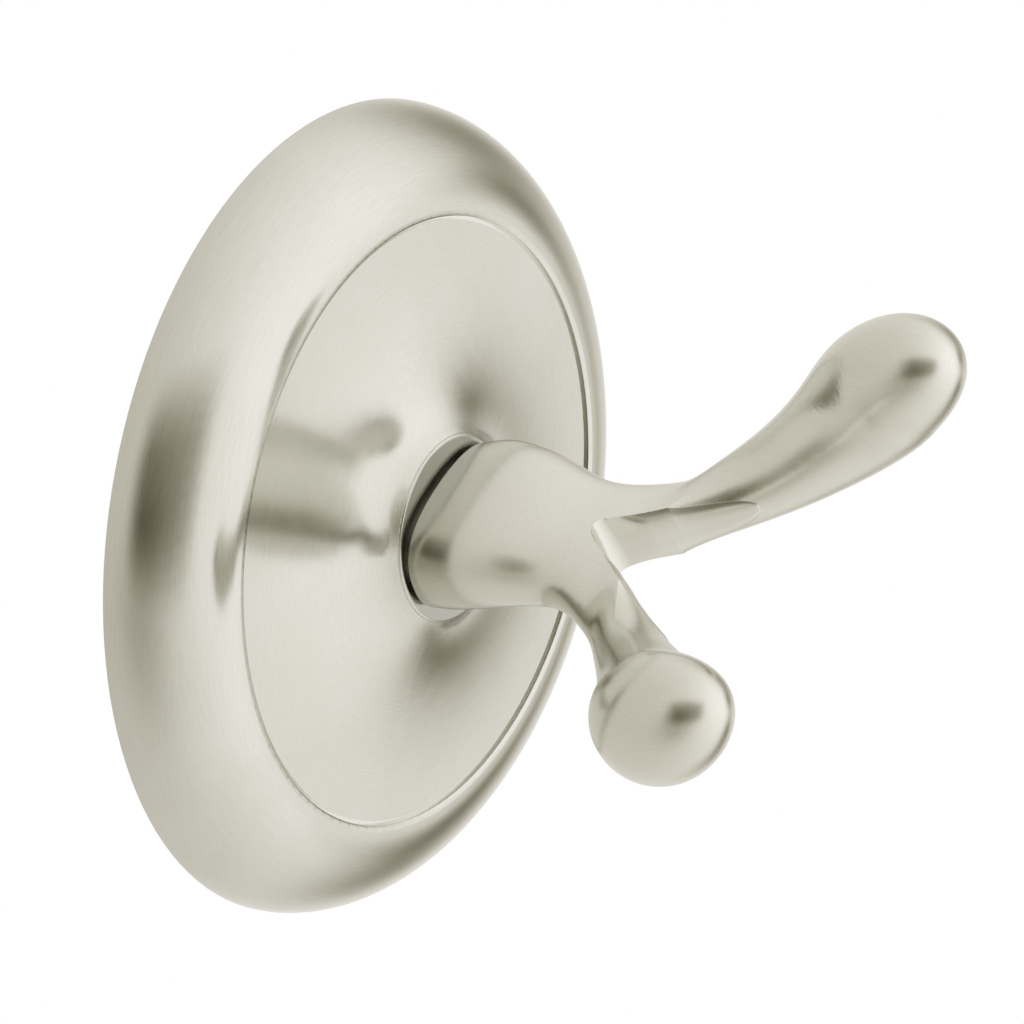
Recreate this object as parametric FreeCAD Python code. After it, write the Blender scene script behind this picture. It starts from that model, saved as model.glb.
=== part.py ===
import FreeCAD, Part
import math
import os

# Double robe hook on a round cover plate.
# Origin: the middle of the plate's back face, on the wall. -Y points out of the wall, +Z up and +X to the
# right, seen from the front. Lengths are in millimetres. "Out" is always the distance from the wall.

V = FreeCAD.Vector

# Cover plate: a hollow casting turned about the out axis
PLATE_RADIUS = 40.0
ROLL_WIDTH = 9.5            # from the plate's edge in to the crest of the rolled rim
ROLL_HEIGHT = 9.25          # crest of the rolled rim above the wall
ROLL_FULLNESS = 0.5         # 0.5523 makes the roll a true quarter of an ellipse
LIP_WIDTH = 0.6             # from the crest in to the step ring
LIP_DROP = 0.12             # how far the lip falls towards the step ring
STEP_WIDTH = 0.4            # the fine groove of the step ring
STEP_DEPTH = 0.55
DISC_DROP = 0.25            # the inner disc lies this much lower than the lip
FLARE_REACH = 12.0          # how far the disc stays nearly flat
FLARE_ANGLE = 50.0          # slope at the collar, in degrees
FLARE_LENGTH = 3.5          # how long the steep part holds that slope
COLLAR_RADIUS = 9.3
COLLAR_HEIGHT = 13.2
COLLAR_ROUND = 0.3
PLATE_WALL = 2.2
SEAT_THICKNESS = 3.0        # metal under the collar, where the hook's screw clamps
SEAT_RADIUS = 8.0           # flat inner face round the screw

# Hook: a flat foot, a tapering stem and two mirrored arms with teardrop ends
SHADOW_GAP = 0.45           # between the collar and the hook's foot
PLINTH_INSET = 1.3          # the plinth in that gap stands back from the foot's edge
FOOT_ROUND = 0.35
OVAL = 0.5523               # fullness of a true half oval
FOOT_FULLNESS = 0.69        # the foot and stem are squarer than an oval
# Stem stations from the foot on: distance along the stem, half width, half height, rise of the middle
STEM = [
    (FOOT_ROUND, 8.9, 6.0, 0.6),
    (3.0, 9.3, 6.0, 1.3),
    (6.8, 9.05, 5.45, 1.7),
    (10.8, 8.2, 4.55, 1.7),
    (14.6, 7.5, 3.75, 1.25),
]
FORK = (19.2, 9.3, 3.0, 0.8)    # the same where the arms part
# Arm path from the neck to the tip: x, distance from the foot, z, and the arm's radius there
ARM = [
    (10.4, 25.3, 0.05, 3.42),
    (14.98, 30.1, 1.2, 4.42),
    (18.95, 33.6, 2.6, 5.52),
    (22.35, 37.2, 5.2, 6.45),
]
TIP = [(23.25, 39.5, 6.9), (23.5, 43.0, 9.0), (23.4, 46.2, 10.6)]
CAP_STEPS = (22.0, 44.0, 64.0, 80.0)    # stations over the rounded end, in degrees
CROTCH_OUT = 16.35          # where the sides of the gap between the arms would meet, from the foot
CROTCH_DRAFT = 0.1          # how much farther out they meet for each millimetre down
CROTCH_RADIUS = 1.8         # the gap's round end at z = 0
CROTCH_TAPER = 0.05         # how much that radius grows for each millimetre down
CROTCH_SPREAD = 38.0        # each side of the gap leans out by this angle, in degrees
CROTCH_STRAIGHT = 24.0      # up to here, from the foot, the sides are straight
CROTCH_BEND = 25.0          # radius at which they then bend clear of the arms
CROTCH_END = 10.0           # angle at which the bend ends, in degrees
CROTCH_DEPTH = 7.0          # how far the cut reaches above and below z = 0

# Hook screw and its washer
SCREW_RADIUS = 2.5
SCREW_DEPTH = 12.0          # thread inside the hook
SCREW_CLEARANCE = 0.25
THREAD_CLEARANCE = 0.05
HEAD_RADIUS = 4.5
HEAD_HEIGHT = 3.2
SLOT_WIDTH = 1.2
SLOT_DEPTH = 1.4
WASHER_RADIUS = 4.4
WASHER_THICKNESS = 1.2
WASHER_GAP = 1.0
PIN_RADIUS = 1.0            # two locating pins that keep the hook from turning
PIN_OFFSET = 5.0
PIN_LENGTH = 1.8
PIN_CLEARANCE = 0.1

# Wall bracket: a strip with both ends bent forward
BRACKET_WIDTH = 18.0
BRACKET_THICKNESS = 1.6
BRACKET_INSET = 8.5         # from the plate's edge in to the outer face of each bent end
LUG_HEADROOM = 3.25         # from the top of the rolled rim down to the end of a bent end
BEND_RADIUS = 0.8
WALL_HOLE_RADIUS = 2.4
WALL_HOLE_INSET = 12.5      # from a bent end in to its screw hole
LUG_CLEARANCE = 0.15
PAD_WIDTH = 14.0

# Set screw in the underside of the rim
SET_RADIUS = 1.75
SET_RECESS = 2.8
SET_SOCKET = 0.9
SET_SOCKET_DEPTH = 1.8
SET_CLEARANCE = 0.05

FOOT_OUT = COLLAR_HEIGHT + SHADOW_GAP
BRACKET_REACH = PLATE_RADIUS - BRACKET_INSET
LUG_LENGTH = ROLL_HEIGHT - LUG_HEADROOM
WALL_HOLE_OFFSET = BRACKET_REACH - WALL_HOLE_INSET
SET_OUT = (BRACKET_THICKNESS + BEND_RADIUS + LUG_LENGTH) / 2    # the middle of the bent end's flat face
CREST_RADIUS = PLATE_RADIUS - ROLL_WIDTH
LIP_RADIUS = CREST_RADIUS - LIP_WIDTH
LIP_OUT = ROLL_HEIGHT - LIP_DROP
DISC_RADIUS = LIP_RADIUS - STEP_WIDTH
DISC_OUT = LIP_OUT - DISC_DROP
SEAT_OUT = COLLAR_HEIGHT - SEAT_THICKNESS


def at(x, out, z):
    """A point by its distance out from the wall."""
    return V(x, -out, z)


def line(a, b):
    return Part.LineSegment(a, b).toShape()


def bezier(poles):
    curve = Part.BezierCurve()
    curve.setPoles(poles)
    return curve.toShape()


def quarter(start, corner, end, fullness=OVAL):
    """A quarter of an oval from start to end, bulging towards the corner of its box."""
    return bezier([start, start + (corner - start) * fullness, end + (corner - end) * fullness, end])


def turned(edges):
    """The solid that a closed outline in the half plane x >= 0 makes when turned about the out axis."""
    face = Part.Face(Part.Wire(edges))
    return face.revolve(V(0, 0, 0), V(0, 1, 0), 360)


def rod(radius, start, end):
    """A round rod between two points."""
    return Part.makeCylinder(radius, (end - start).Length, start, end - start)


def block(x_size, out_from, out_to, z_from, z_to):
    """A block centred on x = 0."""
    return Part.makeBox(x_size, out_to - out_from, z_to - z_from, V(-x_size / 2, -out_to, z_from))


def plate_skin():
    """The visible outline from the plate's edge to the middle of the collar."""
    slope = math.radians(FLARE_ANGLE)
    edge = at(PLATE_RADIUS, 0, 0)
    crest = at(CREST_RADIUS, ROLL_HEIGHT, 0)
    lip = at(LIP_RADIUS, LIP_OUT, 0)
    disc = at(DISC_RADIUS, DISC_OUT, 0)
    brim = at(COLLAR_RADIUS, COLLAR_HEIGHT - COLLAR_ROUND, 0)
    top = at(COLLAR_RADIUS - COLLAR_ROUND, COLLAR_HEIGHT, 0)
    floor = LIP_OUT - STEP_DEPTH
    return [
        quarter(edge, at(PLATE_RADIUS, ROLL_HEIGHT, 0), crest, ROLL_FULLNESS),
        quarter(crest, at(LIP_RADIUS, ROLL_HEIGHT, 0), lip),
        line(lip, at(LIP_RADIUS, floor, 0)),
        line(at(LIP_RADIUS, floor, 0), at(DISC_RADIUS, floor, 0)),
        line(at(DISC_RADIUS, floor, 0), disc),
        bezier([
            disc,
            disc + V(-FLARE_REACH, 0, 0),
            brim + V(FLARE_LENGTH * math.cos(slope), FLARE_LENGTH * math.sin(slope), 0),
            brim,
        ]),
        quarter(brim, at(COLLAR_RADIUS, COLLAR_HEIGHT, 0), top),
        line(top, at(0, COLLAR_HEIGHT, 0)),
    ]


def plate_hollow():
    """The space behind the plate: under the roll, under the disc and up to the screw's seat."""
    inner = PLATE_RADIUS - PLATE_WALL
    crest = CREST_RADIUS - PLATE_WALL / 2
    roof = LIP_OUT - STEP_DEPTH - PLATE_WALL * 0.8
    seat = at(SEAT_RADIUS, SEAT_OUT, 0)
    return turned([
        line(at(0, 0, 0), at(inner, 0, 0)),
        quarter(at(inner, 0, 0), at(inner, roof, 0), at(crest, roof, 0)),
        bezier([
            at(crest, roof, 0),
            at(crest - FLARE_REACH, roof, 0),
            seat + V(FLARE_LENGTH, (SEAT_OUT - roof) * 0.8, 0),
            seat,
        ]),
        line(seat, at(0, SEAT_OUT, 0)),
        line(at(0, SEAT_OUT, 0), at(0, 0, 0)),
    ])


def cover_plate():
    outline = plate_skin()
    outline.append(line(at(0, COLLAR_HEIGHT, 0), at(0, 0, 0)))
    outline.append(line(at(0, 0, 0), at(PLATE_RADIUS, 0, 0)))
    solid = turned(outline)
    lug_face = BRACKET_REACH + LUG_CLEARANCE
    pad_start = BRACKET_THICKNESS + LUG_CLEARANCE
    pad_end = LUG_LENGTH - LUG_CLEARANCE
    # Both pads stand just outside the bracket's bent ends: the top one hangs on its end, the bottom one
    # carries the set screw.
    pads = block(PAD_WIDTH, pad_start, pad_end, lug_face, PLATE_RADIUS)
    pads = pads.fuse(block(PAD_WIDTH, pad_start, pad_end, -PLATE_RADIUS, -lug_face))
    plate = solid.cut(plate_hollow()).fuse(pads.common(solid))
    plate = plate.cut(rod(SCREW_RADIUS + SCREW_CLEARANCE, at(0, 0, 0), at(0, COLLAR_HEIGHT + 1, 0)))
    below = at(0, SET_OUT, -PLATE_RADIUS - 1)
    plate = plate.cut(rod(SET_RADIUS + SET_CLEARANCE, below, at(0, SET_OUT, -lug_face + 1)))
    bottom = COLLAR_HEIGHT - PIN_LENGTH - PIN_CLEARANCE
    for x in (-PIN_OFFSET, PIN_OFFSET):
        plate = plate.cut(rod(PIN_RADIUS + PIN_CLEARANCE, at(x, bottom, 0), at(x, COLLAR_HEIGHT + 1, 0)))
    return plate.removeSplitter()


def half_oval(ridge, side, reach, half_height, fullness):
    """Six control points from the lower ridge round the side to the upper ridge."""
    up = V(0, 0, 1)
    column = [(0, -1), (fullness, -1), (1, -fullness), (1, fullness), (fullness, 1), (0, 1)]
    return [ridge + side * (reach * a) + up * (half_height * b) for a, b in column]


def straight_row(ridge, half_height):
    """The same count of control points on the upright line between the two ridges."""
    return [ridge + V(0, 0, half_height * b) for b in (-1, -0.6, -0.2, 0.2, 0.6, 1)]


def stem_rows():
    """Control points of the right half of the stem. Its ridge stays on the mirror plane."""
    rows = []
    for along, half_width, half_height, rise in STEM:
        ridge = at(0, FOOT_OUT + along, rise)
        rows.append(half_oval(ridge, V(1, 0, 0), half_width, half_height, FOOT_FULLNESS))
    return rows


def fork_rows():
    """Outer and inner control points where the stem opens into the arm."""
    along, half_width, half_height, rise = FORK
    ridge = at(0, FOOT_OUT + along, rise)
    outer = half_oval(ridge, V(1, 0, 0), half_width, half_height, (FOOT_FULLNESS + OVAL) / 2)
    return [outer], [straight_row(ridge, half_height)]


def ring_rows(centre, heading, radius):
    """Outer and inner control points of a round section square to the arm's heading."""
    side = V(0, 0, 1).cross(heading)
    side.normalize()
    up = heading.cross(side)
    up.normalize()
    column = [(0, -1), (OVAL, -1), (1, -OVAL), (1, OVAL), (OVAL, 1), (0, 1)]
    outer = [centre + side * (radius * a) + up * (radius * b) for a, b in column]
    inner = [centre - side * (radius * a) + up * (radius * b) for a, b in column]
    return outer, inner


def arm_rows():
    """Control points of the right arm, from the neck to the tip."""
    points = [at(x, FOOT_OUT + along, z) for x, along, z, radius in ARM]
    points += [at(x, FOOT_OUT + along, z) for x, along, z in TIP]
    path = Part.BSplineCurve()
    path.interpolate(points)
    outer, inner = [], []
    for point, (x, along, z, radius) in zip(points, ARM):
        a, b = ring_rows(point, path.tangent(path.parameter(point))[0], radius)
        outer.append(a)
        inner.append(b)
    widest = path.parameter(points[len(ARM) - 1])
    cap_length = path.length(widest, path.LastParameter)
    for angle in CAP_STEPS:
        turn = math.radians(angle)
        here = path.parameterAtDistance(cap_length * math.sin(turn), widest)
        a, b = ring_rows(path.value(here), path.tangent(here)[0], ARM[-1][3] * math.cos(turn))
        outer.append(a)
        inner.append(b)
    outer.append([points[-1]] * 6)
    inner.append([points[-1]] * 6)
    return outer, inner


def stations(rows):
    """Parameter of each row: the mean way its control points have come."""
    values = [0.0]
    for a, b in zip(rows[:-1], rows[1:]):
        values.append(values[-1] + sum((p - q).Length for p, q in zip(a, b)) / len(a))
    return values


def slopes(points, params, start=None, end=None):
    """Derivatives of the smooth cubic through the points. An end that isn't given stays unbent."""
    n = len(points)
    low, mid, high, right = [0.0] * n, [2.0] * n, [0.0] * n, [V(0, 0, 0)] * n
    steps = [b - a for a, b in zip(params[:-1], params[1:])]
    chords = [(q - p) * (1 / h) for p, q, h in zip(points[:-1], points[1:], steps)]
    high[0], right[0] = 1.0, chords[0] * 3
    low[-1], right[-1] = 1.0, chords[-1] * 3
    if start is not None:
        mid[0], high[0], right[0] = 1.0, 0.0, start
    if end is not None:
        mid[-1], low[-1], right[-1] = 1.0, 0.0, end
    for i in range(1, n - 1):
        low[i], high[i] = steps[i], steps[i - 1]
        mid[i] = 2 * (steps[i] + steps[i - 1])
        right[i] = chords[i - 1] * (3 * steps[i]) + chords[i] * (3 * steps[i - 1])
    for i in range(1, n):
        factor = low[i] / mid[i - 1]
        mid[i] -= factor * high[i - 1]
        right[i] = right[i] - right[i - 1] * factor
    result = [right[-1] * (1 / mid[-1])]
    for i in range(n - 2, -1, -1):
        result.insert(0, (right[i] - result[0] * high[i]) * (1 / mid[i]))
    return result


def skin(rows, params, columns):
    """A smooth face through the rows. Columns holds the derivatives along each column."""
    poles = []
    last = len(rows) - 1
    for i, row in enumerate(rows):
        if i > 0:
            third = (params[i] - params[i - 1]) / 3
            poles.append([p - columns[j][i] * third for j, p in enumerate(row)])
        if i in (0, last):
            poles.insert(0 if i == 0 else len(poles), list(row))
        if i < last:
            third = (params[i + 1] - params[i]) / 3
            poles.append([p + columns[j][i] * third for j, p in enumerate(row)])
    surface = Part.BSplineSurface()
    along = [4] + [2] * (len(rows) - 2) + [4]
    surface.buildFromPolesMultsKnots(poles, along, [4, 2, 4], params, [0.0, 0.5, 1.0], False, False, 3, 3)
    return surface


def tip_slopes(rows):
    """Directions in which the control points close on the tip."""
    ring = rows[-2]
    centre = (ring[0] + ring[-1]) * 0.5
    reach = sum((p - centre).Length for p in ring) / len(ring)
    return [(centre - p) * (1 / reach) for p in ring]


def hook_half():
    """Surfaces of the right half: foot edge, stem, arm outside and arm inside."""
    stem = stem_rows()
    fork_outer, fork_inner = fork_rows()
    arm_outer, arm_inner = arm_rows()
    outer = stem + fork_outer + arm_outer
    inner = fork_inner + arm_inner
    first = len(stem)
    params = stations(outer)
    ends = tip_slopes(outer)
    whole = [slopes([row[j] for row in outer], params, None, ends[j]) for j in range(6)]
    stem_columns = [column[:first + 1] for column in whole]
    arm_columns = [column[first:] for column in whole]
    for j in (0, 5):
        # The ridge leaves the mirror plane at the fork
        ridge = [row[j] for row in outer[first:]]
        away = V(whole[j][first])
        away.x = abs(away.y) * math.tan(math.radians(40))
        arm_columns[j] = slopes(ridge, params[first:], away, ends[j])
        held = V(whole[j][first])
        held.x = 0
        ridge = [row[j] for row in outer[:first + 1]]
        stem_columns[j] = slopes(ridge, params[:first + 1], None, held)
        for slope in stem_columns[j]:
            slope.x = 0
    inner_ends = tip_slopes(inner)
    inner_columns = [arm_columns[0]]
    for j in range(1, 5):
        inner_columns.append(slopes([row[j] for row in inner], params[first:], None, inner_ends[j]))
    inner_columns.append(arm_columns[5])
    return [
        foot_edge(),
        skin(outer[:first + 1], params[:first + 1], stem_columns),
        skin(outer[first:], params[first:], arm_columns),
        skin(inner, params[first:], inner_columns),
    ]


def foot_edge():
    """The rounded edge between the flat underside and the stem."""
    along, half_width, half_height, rise = STEM[0]
    rest = FOOT_ROUND * (1 - OVAL)
    rows = []
    for inset, out in ((FOOT_ROUND, 0), (rest, 0), (0, rest), (0, FOOT_ROUND)):
        ridge = at(0, FOOT_OUT + out, rise)
        rows.append(half_oval(ridge, V(1, 0, 0), half_width - inset, half_height - inset, FOOT_FULLNESS))
    surface = Part.BSplineSurface()
    surface.buildFromPolesMultsKnots(
        rows, [4, 4], [4, 2, 4], [0.0, 1.0], [0.0, 0.5, 1.0], False, False, 3, 3)
    return surface


def foot_face(surface):
    """The flat underside, between the edge's first row and its mirror image."""
    rim = surface.uIso(surface.bounds()[0]).toShape()
    return Part.Face(Part.Wire([rim, rim.mirror(V(0, 0, 0), V(1, 0, 0))]))


def crotch_outline(z):
    """Outline of the gap between the arms at a height: a round end and sides that lean out, then bend."""
    lean = math.radians(CROTCH_SPREAD)
    radius = CROTCH_RADIUS - CROTCH_TAPER * z
    foot = FOOT_OUT - CROTCH_DRAFT * z
    middle = foot + CROTCH_OUT + radius / math.sin(lean)
    x = radius * math.cos(lean)
    out = middle - radius * math.sin(lean)
    bend_x = (CROTCH_STRAIGHT - CROTCH_OUT) * math.tan(lean) - CROTCH_BEND * math.cos(lean)
    bend_out = foot + CROTCH_STRAIGHT + CROTCH_BEND * math.sin(lean)
    right = []
    for heading in (lean, (lean + math.radians(CROTCH_END)) / 2, math.radians(CROTCH_END)):
        right.append(at(bend_x + CROTCH_BEND * math.cos(heading), bend_out - CROTCH_BEND * math.sin(heading), z))
    left = [V(-p.x, p.y, p.z) for p in right]
    return Part.Wire([
        Part.Arc(at(-x, out, z), at(0, middle - radius, z), at(x, out, z)).toShape(),
        line(at(x, out, z), right[0]),
        Part.Arc(*right).toShape(),
        line(right[2], left[2]),
        Part.Arc(*reversed(left)).toShape(),
        line(left[0], at(-x, out, z)),
    ])


def crotch_cutter():
    """The gap between the arms, wider at its foot."""
    foot = crotch_outline(-CROTCH_DEPTH)
    head = crotch_outline(CROTCH_DEPTH)
    return Part.makeLoft([foot, head], True, True)


def plinth():
    """The low step under the foot that makes the shadow gap."""
    half_width = STEM[0][1] - PLINTH_INSET
    half_height = STEM[0][2] - PLINTH_INSET
    lift = SHADOW_GAP + 0.2
    ring = []
    middle = at(0, COLLAR_HEIGHT, STEM[0][3])
    for side in (1, -1):
        p = half_oval(middle, V(side, 0, 0), half_width, half_height, FOOT_FULLNESS)
        ring.append(bezier([p[0], p[1], p[2], (p[2] + p[3]) * 0.5]))
        ring.append(bezier([(p[2] + p[3]) * 0.5, p[3], p[4], p[5]]))
    wire = Part.Wire(Part.__sortEdges__(ring))
    return Part.Face(wire).extrude(at(0, lift, 0))


def double_hook():
    surfaces = hook_half()
    right = [surface.toShape() for surface in surfaces]
    left = [face.mirror(V(0, 0, 0), V(1, 0, 0)) for face in right]
    shell = Part.makeShell(right + left + [foot_face(surfaces[0])])
    shell.sewShape()
    body = Part.makeSolid(shell)
    if body.Volume < 0:
        body.reverse()
    body = body.cut(crotch_cutter())
    body = body.fuse(plinth())
    for x in (-PIN_OFFSET, PIN_OFFSET):
        body = body.fuse(rod(PIN_RADIUS, at(x, COLLAR_HEIGHT - PIN_LENGTH, 0), at(x, FOOT_OUT + 1, 0)))
    return body.cut(rod(SCREW_RADIUS + THREAD_CLEARANCE, at(0, COLLAR_HEIGHT - 1, 0),
                        at(0, FOOT_OUT + SCREW_DEPTH + 1, 0)))


def hook_screw():
    """Pan head screw from behind the plate, with a straight slot."""
    head_top = SEAT_OUT - WASHER_THICKNESS
    shank = rod(SCREW_RADIUS, at(0, head_top - 0.5, 0), at(0, FOOT_OUT + SCREW_DEPTH, 0))
    head = rod(HEAD_RADIUS, at(0, head_top - HEAD_HEIGHT, 0), at(0, head_top, 0))
    head = head.makeFillet(HEAD_HEIGHT * 0.4, [head.Edges[2]])
    slot = block(2 * HEAD_RADIUS + 1, head_top - HEAD_HEIGHT - 1, head_top - HEAD_HEIGHT + SLOT_DEPTH,
                 -SLOT_WIDTH / 2, SLOT_WIDTH / 2)
    return shank.fuse(head).cut(slot).removeSplitter()


def lock_washer():
    """Split spring washer between the screw's head and the plate."""
    start = SEAT_OUT - WASHER_THICKNESS
    ring = rod(WASHER_RADIUS, at(0, start, 0), at(0, SEAT_OUT, 0))
    ring = ring.cut(rod(SCREW_RADIUS + SCREW_CLEARANCE, at(0, start - 1, 0), at(0, SEAT_OUT + 1, 0)))
    return ring.cut(block(WASHER_GAP, start - 1, SEAT_OUT + 1, 0, WASHER_RADIUS + 1))


def wall_bracket():
    """Pressed steel strip with both ends bent forward and two screw holes."""
    reach, thick, tall, bend = BRACKET_REACH, BRACKET_THICKNESS, LUG_LENGTH, BEND_RADIUS
    outer = bend + thick
    half = BRACKET_WIDTH / 2
    p = [
        at(-half, 0, -reach + outer),
        at(-half, outer, -reach),
        at(-half, tall, -reach),
        at(-half, tall, -reach + thick),
        at(-half, outer, -reach + thick),
        at(-half, thick, -reach + outer),
    ]
    q = [V(a.x, a.y, -a.z) for a in p]
    middle = outer - outer * math.sqrt(0.5)
    inside = outer - bend * math.sqrt(0.5)

    def corner(a, b, offset, sign):
        return Part.Arc(a, at(-half, offset, sign * (reach - offset)), b).toShape()

    outline = [
        corner(p[0], p[1], middle, -1), line(p[1], p[2]), line(p[2], p[3]), line(p[3], p[4]),
        corner(p[4], p[5], inside, -1), line(p[5], q[5]),
        corner(q[5], q[4], inside, 1), line(q[4], q[3]), line(q[3], q[2]), line(q[2], q[1]),
        corner(q[1], q[0], middle, 1), line(q[0], p[0]),
    ]
    strip = Part.Face(Part.Wire(outline)).extrude(V(BRACKET_WIDTH, 0, 0))
    for z in (-WALL_HOLE_OFFSET, WALL_HOLE_OFFSET):
        strip = strip.cut(rod(WALL_HOLE_RADIUS, at(0, -1, z), at(0, thick + 1, z)))
    return strip


def set_screw():
    """Headless screw with a hexagon socket, in the bottom of the rim."""
    start = at(0, SET_OUT, -PLATE_RADIUS + SET_RECESS)
    tip = at(0, SET_OUT, -BRACKET_REACH)
    body = rod(SET_RADIUS, start, tip)
    corners = [start + V(SET_SOCKET * math.cos(math.radians(a)), SET_SOCKET * math.sin(math.radians(a)), 0)
               for a in range(0, 361, 60)]
    socket = Part.Face(Part.makePolygon(corners)).extrude(V(0, 0, SET_SOCKET_DEPTH))
    return body.cut(socket)


def main():
    os.makedirs("parts", exist_ok=True)
    pieces = {
        "cover_plate": cover_plate(),
        "double_hook": double_hook(),
        "hook_screw": hook_screw(),
        "lock_washer": lock_washer(),
        "wall_bracket": wall_bracket(),
        "set_screw": set_screw(),
    }
    for name, shape in pieces.items():
        box = shape.BoundBox
        print(name, "valid", shape.isValid(), "solids", len(shape.Solids), "volume", round(shape.Volume, 1),
              "box %.1f x %.1f x %.1f" % (box.XLength, box.YLength, box.ZLength))
        shape.exportStep("parts/%s.step" % name)


if __name__ == "__main__":
    main()
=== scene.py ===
"""Double robe hook in satin nickel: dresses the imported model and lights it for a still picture."""

import logging
import math
from dataclasses import dataclass, field
from enum import Enum
from typing import Union

import bmesh
import bpy
from mathutils import Matrix, Vector
from mathutils.bvhtree import BVHTree


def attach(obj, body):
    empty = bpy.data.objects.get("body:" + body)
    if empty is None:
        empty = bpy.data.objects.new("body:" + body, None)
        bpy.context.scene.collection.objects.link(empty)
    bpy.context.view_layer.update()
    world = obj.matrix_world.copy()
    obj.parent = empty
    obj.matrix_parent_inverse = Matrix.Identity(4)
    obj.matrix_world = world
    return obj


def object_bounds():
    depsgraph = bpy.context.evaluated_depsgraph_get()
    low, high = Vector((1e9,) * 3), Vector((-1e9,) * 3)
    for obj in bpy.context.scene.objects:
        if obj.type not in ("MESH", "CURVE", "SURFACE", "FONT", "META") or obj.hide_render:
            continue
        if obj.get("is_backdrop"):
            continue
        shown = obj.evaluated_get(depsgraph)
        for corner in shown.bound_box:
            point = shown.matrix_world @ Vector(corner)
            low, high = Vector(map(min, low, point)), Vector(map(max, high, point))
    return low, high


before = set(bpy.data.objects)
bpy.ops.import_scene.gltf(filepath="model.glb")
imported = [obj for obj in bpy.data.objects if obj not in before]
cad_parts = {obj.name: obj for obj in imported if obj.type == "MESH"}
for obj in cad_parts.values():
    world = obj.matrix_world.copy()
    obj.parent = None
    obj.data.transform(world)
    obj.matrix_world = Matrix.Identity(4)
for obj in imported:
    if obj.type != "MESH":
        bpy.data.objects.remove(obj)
LOG = logging.getLogger("robe_hook")
BODY = "root"
MM = 0.001

Rgba = tuple[float, float, float, float]
Triple = tuple[float, float, float]


class Slot(Enum):
    """Name of the record's nickel material slot; no piece is given a slot here."""

    SATIN_NICKEL = "satin_nickel"


class Brushing(Enum):
    """How the fine brush marks run over a casting, with their number across and along.

    Across they are counted per metre, and along per radian round the out axis or per metre out of the wall.
    """

    ROUND = (9000.0, 14.0)
    OUTWARD = (8000.0, 260.0)


class Value:
    """A number socket that takes part in Python expressions by adding Math nodes."""

    def __init__(self, maker: "Shader", socket: bpy.types.NodeSocket) -> None:
        """Wraps a socket of the maker's node tree."""
        self.maker = maker
        self.socket = socket

    def _math(self, operation: str, *values: Union["Value", float]) -> "Value":
        """Adds one Math node.

        Args:
            operation: The Math node's operation.
            values: Its inputs, in order.

        Returns:
            The node's result.
        """
        node = self.maker.node("ShaderNodeMath", {"operation": operation}, dict(enumerate(values)))
        return Value(self.maker, node.outputs[0])

    def __add__(self, other: Union["Value", float]) -> "Value":
        """Sum."""
        return self._math("ADD", self, other)

    def __radd__(self, other: float) -> "Value":
        """Sum with the number on the left."""
        return self._math("ADD", other, self)

    def __sub__(self, other: Union["Value", float]) -> "Value":
        """Difference."""
        return self._math("SUBTRACT", self, other)

    def __rsub__(self, other: float) -> "Value":
        """Difference with the number on the left."""
        return self._math("SUBTRACT", other, self)

    def __mul__(self, other: Union["Value", float]) -> "Value":
        """Product."""
        return self._math("MULTIPLY", self, other)

    def __rmul__(self, other: float) -> "Value":
        """Product with the number on the left."""
        return self._math("MULTIPLY", other, self)

    def __truediv__(self, other: Union["Value", float]) -> "Value":
        """Quotient."""
        return self._math("DIVIDE", self, other)

    def __rtruediv__(self, other: float) -> "Value":
        """Quotient with the number on the left."""
        return self._math("DIVIDE", other, self)

    def __pow__(self, power: Union["Value", float]) -> "Value":
        """Power."""
        return self._math("POWER", self, power)

    def __rpow__(self, base: float) -> "Value":
        """Power with the number on the left."""
        return self._math("POWER", base, self)

    def exp(self) -> "Value":
        """e raised to this value."""
        return self._math("EXPONENT", self)

    def floor_at(self, low: float) -> "Value":
        """This value, or low where it is smaller."""
        return self._math("MAXIMUM", self, low)

    def size(self) -> "Value":
        """This value without its sign."""
        return self._math("ABSOLUTE", self)

    def angle(self, other: "Value") -> "Value":
        """Angle of the point (other, self), in radians."""
        return self._math("ARCTAN2", self, other)

    def step(self, low: float, high: float) -> "Value":
        """Rises smoothly from 0 at low to 1 at high.

        Args:
            low: Value below which the result is 0.
            high: Value above which the result is 1.

        Returns:
            The eased step.
        """
        node = self.maker.node(
            "ShaderNodeMapRange",
            {"interpolation_type": "SMOOTHSTEP", "clamp": True},
            {"Value": self, "From Min": low, "From Max": high, "To Min": 0.0, "To Max": 1.0},
        )
        return Value(self.maker, node.outputs["Result"])


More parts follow.
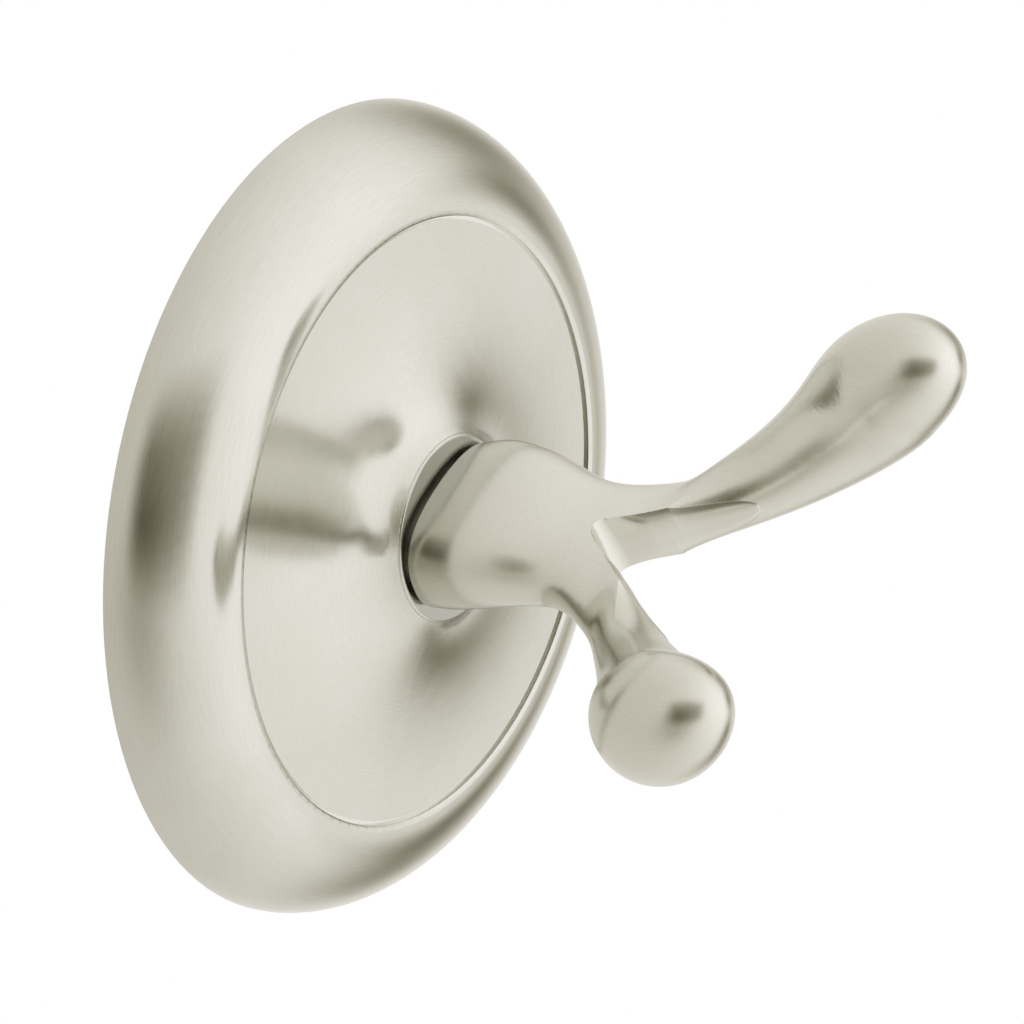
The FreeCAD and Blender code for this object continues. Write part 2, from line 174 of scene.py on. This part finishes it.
class Shader:
    """Builds one node tree."""

    def __init__(self, tree: bpy.types.NodeTree) -> None:
        """Empties the tree."""
        self.tree = tree
        tree.nodes.clear()

    def node(self, kind: str, settings: dict | None = None, inputs: dict | None = None) -> bpy.types.Node:
        """Adds a node.

        Args:
            kind: The node's type.
            settings: Properties that are set before the sockets.
            inputs: Socket name or number to a constant, a Value or another node's socket.

        Returns:
            The new node.
        """
        node = self.tree.nodes.new(kind)
        for name, value in (settings or {}).items():
            setattr(node, name, value)
        for name, value in (inputs or {}).items():
            self.feed(node.inputs[name], value)
        return node

    def feed(self, socket: bpy.types.NodeSocket, value: object) -> None:
        """Links a value or a socket into a socket, or sets its constant."""
        if isinstance(value, Value):
            value = value.socket
        if isinstance(value, bpy.types.NodeSocket):
            self.tree.links.new(value, socket)
        else:
            socket.default_value = value

    def value(self, socket: bpy.types.NodeSocket) -> Value:
        """Wraps a socket for use in an expression."""
        return Value(self, socket)

    def vector(self, x: Value, y: Value, z: Value) -> bpy.types.NodeSocket:
        """Joins three numbers into a vector."""
        return self.node("ShaderNodeCombineXYZ", None, {0: x, 1: y, 2: z}).outputs[0]

    def parts(self, vector: bpy.types.NodeSocket) -> list[Value]:
        """The three numbers of a vector."""
        return [self.value(part) for part in self.node("ShaderNodeSeparateXYZ", None, {0: vector}).outputs]

    def position(self) -> tuple[bpy.types.NodeSocket, Value, Value, Value]:
        """Object coordinates.

        Returns:
            The vector socket and its three numbers, in metres.
        """
        point = self.node("ShaderNodeTexCoord").outputs["Object"]
        return (point, *self.parts(point))

    def noise(self, vector: object, scale: float, detail: float = 3.0, roughness: float = 0.5) -> Value:
        """Noise between 0 and 1.

        Args:
            vector: Where it is read.
            scale: Features per unit.
            detail: Octaves.
            roughness: How strong the fine octaves are.

        Returns:
            The noise's factor.
        """
        inputs = {"Vector": vector, "Scale": scale, "Detail": detail, "Roughness": roughness}
        return self.value(self.node("ShaderNodeTexNoise", None, inputs).outputs["Fac"])

    def along(self, vector: bpy.types.NodeSocket, axis: Vector) -> Value:
        """How far a vector reaches along a fixed unit axis."""
        node = self.node("ShaderNodeVectorMath", {"operation": "DOT_PRODUCT"}, {0: vector, 1: tuple(axis)})
        return self.value(node.outputs["Value"])

    def mix_color(self, factor: Value, first: object, second: object) -> bpy.types.NodeSocket:
        """Mixes two colours by a factor."""
        node = self.node("ShaderNodeMix", {"data_type": "RGBA"}, {0: factor, 6: first, 7: second})
        return node.outputs[2]

    def bump(self, height: Value, strength: float, depth: float) -> bpy.types.NodeSocket:
        """The normal of a surface whose height varies.

        Args:
            height: The height, between 0 and 1.
            strength: How much of the effect is used.
            depth: Height difference between 0 and 1, in metres.

        Returns:
            The normal.
        """
        inputs = {"Strength": strength, "Distance": depth, "Height": height}
        return self.node("ShaderNodeBump", None, inputs).outputs[0]

    def metal(self, color: bpy.types.NodeSocket, roughness: Value, normal: bpy.types.NodeSocket) -> None:
        """Ends a material's tree with a bare metal surface."""
        inputs = {"Base Color": color, "Roughness": roughness, "Normal": normal, "Metallic": 1.0}
        surface = self.node("ShaderNodeBsdfPrincipled", None, inputs)
        self.node("ShaderNodeOutputMaterial", None, {"Surface": surface.outputs[0]})


def new_material(name: str) -> tuple[bpy.types.Material, Shader]:
    """Makes an empty material.

    Args:
        name: The material's name.

    Returns:
        The material and the builder of its tree.
    """
    material = bpy.data.materials.new(name)
    material.use_nodes = True
    return material, Shader(material.node_tree)


@dataclass(frozen=True)
class PlateZones:
    """Where the cover plate's finish changes and where light and shade are painted on it, in metres. The out
    axis is -Y.

    Attributes:
        inner_radius: Radius within which faces that look at the wall are bare casting.
        inner_edge: Width over which that finish ends.
        groove_from: Inner radius of the step ring's fine groove.
        groove_to: Its outer radius.
        lip_out: How far out the groove reaches.
        collar_radius: Radius of the collar's flat face.
        collar_edge: Width over which its painted shade ends.
        collar_out: How far out of the wall that painted shade starts.
        edge: Width over which all other changes happen.
        facing_wall: Range of a normal's inward part over which a face comes to count as facing the wall.
    """

    inner_radius: float = 0.0379
    inner_edge: float = 0.0004
    groove_from: float = 0.02948
    groove_to: float = 0.02992
    lip_out: float = 0.00912
    collar_radius: float = 0.0092
    collar_edge: float = 0.00012
    collar_out: float = 0.01312
    edge: float = 0.00003
    facing_wall: tuple[float, float] = (0.02, 0.1)

    def groove_painted_light(self, radius: Value, out: Value) -> Value:
        """1 in the fine groove of the step ring, where painted light lifts its shade, 0 elsewhere."""
        inside = radius.step(self.groove_from - self.edge, self.groove_from)
        inside = inside * (1.0 - radius.step(self.groove_to, self.groove_to + self.edge))
        return inside * (1.0 - out.step(self.lip_out - self.edge, self.lip_out))

    def collar_painted_shade(self, radius: Value, out: Value) -> Value:
        """1 on the flat face of the collar under the hook's foot, where shade is painted, 0 elsewhere."""
        inside = 1.0 - radius.step(self.collar_radius - self.collar_edge, self.collar_radius)
        return inside * out.step(self.collar_out, self.collar_out + self.edge)

    def bare(self, radius: Value, inward: Value) -> Value:
        """1 on the casting's inside, which faces the wall, 0 elsewhere."""
        outside = radius.step(self.inner_radius, self.inner_radius + self.inner_edge)
        return inward.step(*self.facing_wall) * (1.0 - outside)


@dataclass(frozen=True)
class SatinNickel:
    """Nickel plate with a very fine satin brushing, and the dull casting inside, with painted shade on the
    collar's face under the hook and painted light in the step ring's groove.

    A name that ends in grain says how much a pattern changes the roughness, and one that ends in dulling says
    how much rougher a zone is than the plating round it. The pattern turns shade into colour as it rises
    through the tone range. Depths are in metres.
    """

    color: Rgba = (0.667, 0.664, 0.614, 1.0)
    shade: Rgba = (0.617, 0.6125, 0.55, 1.0)
    hook_color: Rgba = (0.733, 0.728, 0.673, 1.0)
    hook_shade: Rgba = (0.683, 0.677, 0.6125, 1.0)
    casting: Rgba = (0.42, 0.42, 0.40, 1.0)
    # Painted light: a colour lighter than the plating, which lifts the shade in the step ring's groove.
    groove_painted_light: Rgba = (0.75, 0.75, 0.70, 1.0)
    # Painted shade: a darker colour on the collar's flat face under the hook's foot.
    collar_painted_shade: Rgba = (0.45, 0.448, 0.40, 1.0)
    tone_range: tuple[float, float] = (0.35, 0.65)
    roughness: float = 0.15
    hook_roughness: float = 0.23
    mark_octaves: float = 4.0
    mark_contrast: float = 0.6
    mark_depth: float = 0.00001
    mark_strength: float = 0.35
    mark_grain: float = 0.10
    clouds_per_metre: float = 60.0
    cloud_grain: float = 0.05
    collar_dulling: float = 0.06
    casting_dulling: float = 0.35
    grit_per_metre: float = 2600.0
    grit_grain: float = 0.1

    def material(self, name: str, brushing: Brushing, zones: PlateZones | None = None) -> bpy.types.Material:
        """Makes the finish for one casting.

        Args:
            name: The material's name.
            brushing: How the brush marks run, round on the plate and outward on the hook.
            zones: Where the finish changes and light and shade are painted, on the cover plate alone.

        Returns:
            The material.
        """
        material, shader = new_material(name)
        point, x, y, z = shader.position()
        radius = (x * x + z * z) ** 0.5
        across, along = brushing.value
        if brushing is Brushing.ROUND:
            marks = shader.vector(radius * across, z.angle(x) * along, y * across)
            tones, roughness = (self.shade, self.color), self.roughness
        else:
            marks = shader.vector(x * across, y * along, z * across)
            tones, roughness = (self.hook_shade, self.hook_color), self.hook_roughness
        fine = shader.noise(marks, 1.0, self.mark_octaves, self.mark_contrast)
        cloud = shader.noise(point, self.clouds_per_metre)
        color = shader.mix_color((cloud * 0.5 + fine * 0.5).step(*self.tone_range), *tones)
        roughness = roughness + (fine - 0.5) * self.mark_grain + (cloud - 0.5) * self.cloud_grain
        if zones:
            normal = shader.node("ShaderNodeNewGeometry").outputs["Normal"]
            bare = zones.bare(radius, shader.parts(normal)[1])
            out = 0.0 - y
            # Mask of the painted shade on the collar's face under the hook's foot.
            face = zones.collar_painted_shade(radius, out)
            grit = shader.noise(point, self.grit_per_metre)
            # Painted light: the step ring's groove is lighter than the plating round it, to lift its shade.
            color = shader.mix_color(zones.groove_painted_light(radius, out), color, self.groove_painted_light)
            # Painted shade: the collar's face under the hook's foot is darkened by colour.
            color = shader.mix_color(face, color, self.collar_painted_shade)
            color = shader.mix_color(bare, color, self.casting)
            roughness = roughness + face * self.collar_dulling
            roughness = roughness + bare * (self.casting_dulling + grit * self.grit_grain)
        shader.metal(color, roughness, shader.bump(fine, self.mark_strength, self.mark_depth))
        return material


@dataclass(frozen=True)
class PlainSteel:
    """Steel of the fixings, plated or blackened."""

    color: Rgba
    tarnish: Rgba
    roughness: float
    clouds_per_metre: float = 240.0
    cloud_octaves: float = 4.0
    cloud_range: tuple[float, float] = (0.4, 0.7)
    cloud_grain: float = 0.15
    grit_per_metre: float = 3500.0
    grit_octaves: float = 2.0
    grit_depth: float = 0.00003
    grit_strength: float = 0.3

    def material(self, name: str) -> bpy.types.Material:
        """Makes the finish.

        Args:
            name: The material's name.

        Returns:
            The material.
        """
        material, shader = new_material(name)
        point = shader.position()[0]
        cloud = shader.noise(point, self.clouds_per_metre, self.cloud_octaves)
        grit = shader.noise(point, self.grit_per_metre, self.grit_octaves)
        color = shader.mix_color(cloud.step(*self.cloud_range), self.color, self.tarnish)
        roughness = self.roughness + (cloud - 0.5) * self.cloud_grain
        shader.metal(color, roughness, shader.bump(grit, self.grit_strength, self.grit_depth))
        return material


def dress(piece: bpy.types.Object, material: bpy.types.Material) -> None:
    """Gives every face of a piece one material."""
    piece.data.materials.clear()
    piece.data.materials.append(material)


@dataclass
class CoverPlate:
    """The round plate against the wall."""

    node: str = "cover_plate"
    zones: PlateZones = PlateZones()

    def build(self, finish: SatinNickel) -> list[bpy.types.Object]:
        """Dresses the plate.

        Args:
            finish: The nickel finish.

        Returns:
            The pieces of the plate.
        """
        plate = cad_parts[self.node]
        dress(plate, finish.material("satin_nickel_plate", Brushing.ROUND, self.zones))
        return [plate]


@dataclass
class DoubleHook:
    """The stem with its two arms."""

    node: str = "double_hook"

    def build(self, finish: SatinNickel) -> list[bpy.types.Object]:
        """Dresses the hook.

        Args:
            finish: The nickel finish.

        Returns:
            The pieces of the hook.
        """
        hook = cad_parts[self.node]
        dress(hook, finish.material("satin_nickel_hook", Brushing.OUTWARD))
        return [hook]


@dataclass(frozen=True)
class GapSide:
    """The right side of the gap between the arms, as part.py cuts it, in millimetres.

    Attributes:
        foot: How far out of the wall the hook's foot stands.
        meeting: Where both sides would meet, out from the foot.
        draft: How much farther out the gap lies for each millimetre down.
        radius: The gap's round end, at the origin's height.
        taper: How much that radius grows for each millimetre down.
        lean: Angle between the side and the middle plane.
        straight: Where the side ends its straight run, out from the foot.
        bend: Radius at which it then bends clear of the arm.
    """

    foot: float = 13.65
    meeting: float = 16.35
    draft: float = 0.1
    radius: float = 1.8
    taper: float = 0.05
    lean: float = math.radians(38.0)
    straight: float = 24.0
    bend: float = 25.0

    def point(self, along: float, height: float) -> Vector:
        """A point of the side.

        Args:
            along: Way along the side from the gap's round end, in millimetres.
            height: Height above the origin, in millimetres.

        Returns:
            The point, in metres.
        """
        radius = self.radius - self.taper * height
        foot = self.foot - self.draft * height
        x = radius * math.cos(self.lean) + along * math.sin(self.lean)
        out = foot + self.meeting + radius / math.sin(self.lean) - radius * math.sin(self.lean)
        out += along * math.cos(self.lean)
        past = (out - foot - self.straight) / math.cos(self.lean)
        if past > 0.0:
            heading = self.lean - past / self.bend
            bend_x = (self.straight - self.meeting) * math.tan(self.lean) - self.bend * math.cos(self.lean)
            bend_out = foot + self.straight + self.bend * math.sin(self.lean)
            x = bend_x + self.bend * math.cos(heading)
            out = bend_out - self.bend * math.sin(heading)
        return Vector((x, -out, height)) * MM


@dataclass
class ArmFlanks:
    """The round flanks of both arms in the gap between them, which stand on the flat sides of the cut.

    Lengths are in millimetres.

    Attributes:
        node: The node that the flanks stand on.
        side: The right side of the gap.
        rise_length: Way from the gap's round end over which the flanks swell up.
        edge_slope: How steeply a flank turns in at its upper edge, in millimetres per millimetre.
        fullest: Share of the height at which a flank is fullest.
        upper_power: How late a flank turns in above there.
        lower_power: How late it turns in below there.
        hollow_share: Share of the side's hollow bend that a flank fills.
        probe_height: Height at which the casting is probed along the side.
        probe_rise: Rise over which the side's upward direction is taken.
        probe_step: Way over which its heading is taken.
        skin_depth: How far inside the metal the probes run.
        skin: Thickness of a flank at its edges.
        reach_range: Ways along the side between which it leaves the metal.
        halvings: How often that range is halved to find the place.
        sharp_angle: Bend from which an edge stays sharp.
        columns: Faces along a flank.
        rows: Faces over its height.
        reach: Way along the side at which it leaves the metal, filled in by build.
    """

    node: str = "double_hook"
    side: GapSide = GapSide()
    rise_length: float = 3.6
    edge_slope: float = 0.62
    fullest: float = 0.35
    upper_power: float = 3.8
    lower_power: float = 2.0
    hollow_share: float = 0.8
    probe_height: float = 0.7
    probe_rise: float = 1.0
    probe_step: float = 0.05
    skin_depth: float = 0.04
    skin: float = 0.06
    reach_range: tuple[float, float] = (4.0, 24.0)
    halvings: int = 24
    sharp_angle: float = math.radians(30.0)
    columns: int = 96
    rows: int = 36
    reach: float = field(default=0.0, init=False)

    def build(self, finish: SatinNickel) -> list[bpy.types.Object]:
        """Makes the flanks as one piece.

        Args:
            finish: The nickel finish.

        Returns:
            The piece.
        """
        shape = bmesh.new()
        bmesh.ops.create_grid(shape, x_segments=self.columns, y_segments=self.rows, size=1.0)
        self._place(shape)
        self._thicken(shape)
        right_flank = shape.verts[:] + shape.edges[:] + shape.faces[:]
        bmesh.ops.mirror(shape, geom=right_flank, axis="X", merge_dist=0.0)
        bmesh.ops.recalc_face_normals(shape, faces=shape.faces)
        for face in shape.faces:
            face.smooth = True
        for edge in shape.edges:
            edge.smooth = edge.calc_face_angle(0.0) < self.sharp_angle
        mesh = bpy.data.meshes.new("arm_flanks")
        shape.to_mesh(mesh)
        shape.free()
        piece = bpy.data.objects.new("arm_flanks", mesh)
        bpy.context.scene.collection.objects.link(piece)
        dress(piece, finish.material("satin_nickel_flanks", Brushing.OUTWARD))
        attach(piece, BODY)
        return [piece]

    def _place(self, shape: bmesh.types.BMesh) -> None:
        """Moves a grid of two units a side onto the right flank, from the arm's underside to its top.

        Args:
            shape: The grid.
        """
        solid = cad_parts[self.node].data
        tree = BVHTree.FromPolygons([v.co for v in solid.vertices], [p.vertices for p in solid.polygons])
        self.reach = self._find_reach(tree)
        spans = {}
        for corner in shape.verts:
            column = round((corner.co.x + 1.0) / 2.0 * self.columns)
            along = self.reach * column / self.columns
            if column not in spans:
                spans[column] = self._span(tree, along)
            corner.co = self._bulged(along, *spans[column], (corner.co.y + 1.0) / 2.0)

    def _thicken(self, shape: bmesh.types.BMesh) -> None:
        """Closes the right flank with a back inside the metal.

        Args:
            shape: The flank's front, which is turned to face the gap.
        """
        bmesh.ops.recalc_face_normals(shape, faces=shape.faces)
        if sum(face.normal.x * face.calc_area() for face in shape.faces) > 0.0:
            bmesh.ops.reverse_faces(shape, faces=shape.faces)
        made = bmesh.ops.extrude_face_region(shape, geom=shape.faces[:], use_keep_orig=True)["geom"]
        back = [part for part in made if isinstance(part, bmesh.types.BMVert)]
        inward = self._inward(self.reach / 2, self.probe_height) * (self.skin * MM)
        bmesh.ops.translate(shape, vec=inward, verts=back)

    def _inward(self, along: float, height: float) -> Vector:
        """Unit vector from the side into the arm's metal."""
        way = self.side.point(along + self.probe_step, height) - self.side.point(along, height)
        return way.cross(Vector((0.0, 0.0, 1.0))).normalized() * -1.0

    def _inside(self, tree: BVHTree, along: float) -> bool:
        """Whether the side runs through metal at this place."""
        probe = self.side.point(along, self.probe_height)
        probe += self._inward(along, self.probe_height) * (self.skin_depth * MM)
        hit, normal, _, _ = tree.find_nearest(probe)
        return (probe - hit).dot(normal) < 0.0

    def _find_reach(self, tree: BVHTree) -> float:
        """Way along the side at which it leaves the metal, found by halving."""
        low, high = self.reach_range
        for _ in range(self.halvings):
            middle = (low + high) / 2
            if self._inside(tree, middle):
                low = middle
            else:
                high = middle
        return low

    def _span(self, tree: BVHTree, along: float) -> tuple[float, float]:
        """Heights of the arm's underside and top on the side, in millimetres."""
        start = self.side.point(along, self.probe_height)
        depth = self._inward(along, self.probe_height) * (self.skin_depth * MM)
        up = (self.side.point(along, self.probe_height + self.probe_rise) - start).normalized()
        heights = []
        for way in (-up, up):
            hit = tree.ray_cast(start + depth, way)[0]
            heights.append(hit.z / MM)
        return heights[0], heights[1]

    def _swell(self, along: float, tall: float) -> float:
        """How far the flank stands in front of the cut at its fullest.

        Args:
            along: Way along the side, in millimetres.
            tall: Height of the side at this place, in millimetres.

        Returns:
            The distance, in millimetres.
        """
        ends = [self.side.point(place, self.probe_height) for place in (0.0, self.reach)]
        chord = (ends[1] - ends[0]).normalized()
        offset = self.side.point(along, self.probe_height) - ends[0]
        hollow = (offset - chord * offset.dot(chord)).length / MM
        eased = min(along / self.rise_length, 1.0)
        eased = eased * eased * (3.0 - 2.0 * eased)
        tilted = self.edge_slope * (1.0 - self.fullest) * tall / self.upper_power
        return math.hypot(tilted * eased, hollow * self.hollow_share)

    def _bulged(self, along: float, low: float, high: float, share: float) -> Vector:
        """A point of the flank, which is fullest below the middle and turns in at both edges.

        Args:
            along: Way along the side, in millimetres.
            low: Height of the arm's underside there, in millimetres.
            high: Height of its top, in millimetres.
            share: How far up between the two the point lies, from 0 to 1.

        Returns:
            The point, in metres.
        """
        height = low + (high - low) * share
        if share > self.fullest:
            form = 1.0 - ((share - self.fullest) / (1.0 - self.fullest)) ** self.upper_power
        else:
            form = 1.0 - ((self.fullest - share) / self.fullest) ** self.lower_power
        swell = self._swell(along, high - low) * form
        return self.side.point(along, height) - self._inward(along, height) * (swell * MM)


@dataclass
class Fixings:
    """The hidden screws, washer and bracket."""

    plated: tuple[str, ...] = ("hook_screw", "lock_washer", "wall_bracket")
    blackened: tuple[str, ...] = ("set_screw",)
    zinc: PlainSteel = PlainSteel(
        color=(0.62, 0.63, 0.64, 1.0), tarnish=(0.50, 0.51, 0.50, 1.0), roughness=0.34
    )
    oxide: PlainSteel = PlainSteel(
        color=(0.06, 0.06, 0.062, 1.0), tarnish=(0.10, 0.10, 0.095, 1.0), roughness=0.45
    )

    def build(self) -> list[bpy.types.Object]:
        """Dresses the fixings.

        Returns:
            Their pieces.
        """
        zinc, oxide = self.zinc.material("zinc_plate"), self.oxide.material("black_oxide")
        pieces = []
        for names, material in ((self.plated, zinc), (self.blackened, oxide)):
            for name in names:
                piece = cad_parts[name]
                dress(piece, material)
                pieces.append(piece)
        return pieces


@dataclass(frozen=True)
class Bearing:
    """A direction on the studio's dome, in degrees.

    The turn is counted from straight out of the wall to the right, the height from the horizon up.
    """

    turn: float
    height: float

    def vector(self) -> Vector:
        """The direction as a unit vector."""
        turn, height = math.radians(self.turn), math.radians(self.height)
        level = math.cos(height)
        return Vector((math.sin(turn) * level, -math.cos(turn) * level, math.sin(height)))

    def axes(self, roll: float) -> tuple[Vector, Vector]:
        """Two unit vectors square to the direction.

        Args:
            roll: Angle by which the pair is turned, in degrees.

        Returns:
            The one that points right when the roll is 0, and the one that points up.
        """
        turn, roll = math.radians(self.turn), math.radians(roll)
        right = Vector((math.cos(turn), math.sin(turn), 0.0))
        up = self.vector().cross(right)
        return right * math.cos(roll) + up * math.sin(roll), up * math.cos(roll) - right * math.sin(roll)


@dataclass(frozen=True)
class Glow:
    """A soft round area of the dome that is lighter or darker than the rest.

    Attributes:
        bearing: Where its middle lies.
        sharpness: How fast it fades away from there.
        strength: What it adds in its middle, below 0 where it is darker.
    """

    bearing: Bearing
    sharpness: float
    strength: float

    def light(self, shader: Shader, look: bpy.types.NodeSocket) -> Value:
        """What the area adds in each direction.

        Args:
            shader: Builder of the dome's tree.
            look: The direction.

        Returns:
            The added strength.
        """
        return ((shader.along(look, self.bearing.vector()) - 1.0) * self.sharpness).exp() * self.strength


@dataclass(frozen=True)
class Card:
    """A large rectangular card with soft edges, one unit away, that is lighter or darker than the dome.

    Attributes:
        bearing: Where its middle lies.
        roll: Angle by which it is turned in its plane, in degrees.
        half_width: Half its width.
        half_height: Half its height.
        softness: How far its edges fade to either side.
        strength: What it adds in its middle, below 0 where it is darker.
        faint: Cosines of the angle to its middle between which it fades out far to its side.
    """

    bearing: Bearing
    roll: float
    half_width: float
    half_height: float
    softness: float
    strength: float
    faint: tuple[float, float] = (0.05, 0.1)

    def light(self, shader: Shader, look: bpy.types.NodeSocket) -> Value:
        """What the card adds in each direction.

        Args:
            shader: Builder of the dome's tree.
            look: The direction.

        Returns:
            The added strength.
        """
        right, up = self.bearing.axes(self.roll)
        ahead = shader.along(look, self.bearing.vector())
        depth = ahead.floor_at(self.faint[0])
        inside = ahead.step(*self.faint)
        for axis, half in ((right, self.half_width), (up, self.half_height)):
            offset = (shader.along(look, axis) / depth).size()
            inside = inside * (1.0 - offset.step(half - self.softness, half + self.softness))
        return inside * self.strength


@dataclass
class Studio:
    """A pale floor under a bright dome, with a dark card behind the camera and dim areas to the sides.

    Green and blue are worked out from the dome's light, each by a power and a share.
    """

    floor_drop: float = 0.30
    floor_half_width: float = 6.0
    dome: float = 0.6
    darkest: float = 0.03
    green: tuple[float, float] = (1.03, 0.98)
    blue: tuple[float, float] = (1.2, 0.945)
    areas: tuple[Glow | Card, ...] = (
        Glow(Bearing(38.0, -10.0), sharpness=0.8, strength=0.67),
        Card(Bearing(-44.0, 36.0), -28.0, half_width=0.64, half_height=0.39, softness=0.28, strength=-0.57),
        Glow(Bearing(-69.0, 9.0), sharpness=9.0, strength=-0.32),
        Glow(Bearing(68.0, -30.0), sharpness=44.0, strength=-0.68),
        Glow(Bearing(93.0, -18.0), sharpness=14.0, strength=-0.68),
        Glow(Bearing(58.0, -56.0), sharpness=48.0, strength=-0.67),
        Glow(Bearing(80.0, -72.0), sharpness=28.0, strength=-0.55),
    )

    def build(self) -> None:
        """Makes the floor and the dome."""
        self._floor()
        self._dome()

    def _floor(self) -> None:
        """Lays the floor below the part. It is pale and isn't mirrored by the metal."""
        mesh = bpy.data.meshes.new("studio_floor")
        shape = bmesh.new()
        place = Matrix.Translation((0.0, 0.0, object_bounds()[0].z - self.floor_drop))
        bmesh.ops.create_grid(shape, x_segments=1, y_segments=1, size=self.floor_half_width, matrix=place)
        shape.to_mesh(mesh)
        shape.free()
        floor = bpy.data.objects.new("studio_floor", mesh)
        bpy.context.scene.collection.objects.link(floor)
        material, shader = new_material("pale_floor")
        surface = shader.node("ShaderNodeEmission", None, {"Color": (1.0, 1.0, 1.0, 1.0), "Strength": 1.0})
        shader.node("ShaderNodeOutputMaterial", None, {"Surface": surface.outputs[0]})
        dress(floor, material)
        floor.visible_glossy = False
        floor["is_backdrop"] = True

    def _dome(self) -> None:
        """Lights the part from all round. The dim areas are a little warmer than the bright ones."""
        world = bpy.data.worlds.new("studio_dome")
        bpy.context.scene.world = world
        world.use_nodes = True
        shader = Shader(world.node_tree)
        look = shader.node("ShaderNodeTexCoord").outputs["Generated"]
        light = sum((area.light(shader, look) for area in self.areas), self.dome)
        seen = shader.value(shader.node("ShaderNodeLightPath").outputs["Is Camera Ray"])
        light = light.floor_at(self.darkest) * (1.0 - seen) + seen
        green, blue = (light ** power * share for power, share in (self.green, self.blue))
        color = shader.node("ShaderNodeCombineColor", None, {0: light, 1: green, 2: blue})
        background = shader.node("ShaderNodeBackground", None, {"Color": color.outputs[0], "Strength": 1.0})
        shader.node("ShaderNodeOutputWorld", None, {"Surface": background.outputs[0]})


@dataclass
class ViewingCamera:
    """The camera at the photograph's viewing angle, far off with a long lens. Places are in metres."""

    place: Triple = (-0.649033, -0.647259, 0.774654)
    right: Triple = (0.47868, -0.83401, -0.27438)
    down: Triple = (-0.68665, -0.16086, -0.70897)
    ahead: Triple = (0.54715, 0.52778, -0.64967)
    focal_pixels: float = 12361.28
    picture_pixels: float = 1024.0
    sensor_mm: float = 36.0
    nearest: float = 0.01
    farthest: float = 20.0

    def build(self) -> None:
        """Makes the camera the scene's own."""
        data = bpy.data.cameras.new("viewing_camera")
        data.sensor_width = self.sensor_mm
        data.lens = self.focal_pixels / self.picture_pixels * self.sensor_mm
        data.clip_start = self.nearest
        data.clip_end = self.farthest
        camera = bpy.data.objects.new("viewing_camera", data)
        bpy.context.scene.collection.objects.link(camera)
        axes = Matrix((self.right, [-v for v in self.down], [-v for v in self.ahead])).transposed()
        camera.matrix_world = Matrix.Translation(self.place) @ axes.to_4x4()
        bpy.context.scene.camera = camera


def main() -> None:
    logging.basicConfig(level=logging.INFO, format="%(message)s")
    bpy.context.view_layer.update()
    nickel = SatinNickel()
    assemblies = {
        "cover plate": CoverPlate().build(nickel),
        "hook": DoubleHook().build(nickel) + ArmFlanks().build(nickel),
        "fixings": Fixings().build(),
    }
    for name, made in assemblies.items():
        for piece in made:
            LOG.info("%s: %s, %d faces", name, piece.name, len(piece.data.polygons))
    ViewingCamera().build()
    Studio().build()
    bpy.context.scene.view_settings.view_transform = "Standard"


if __name__ == "__main__":
    main()
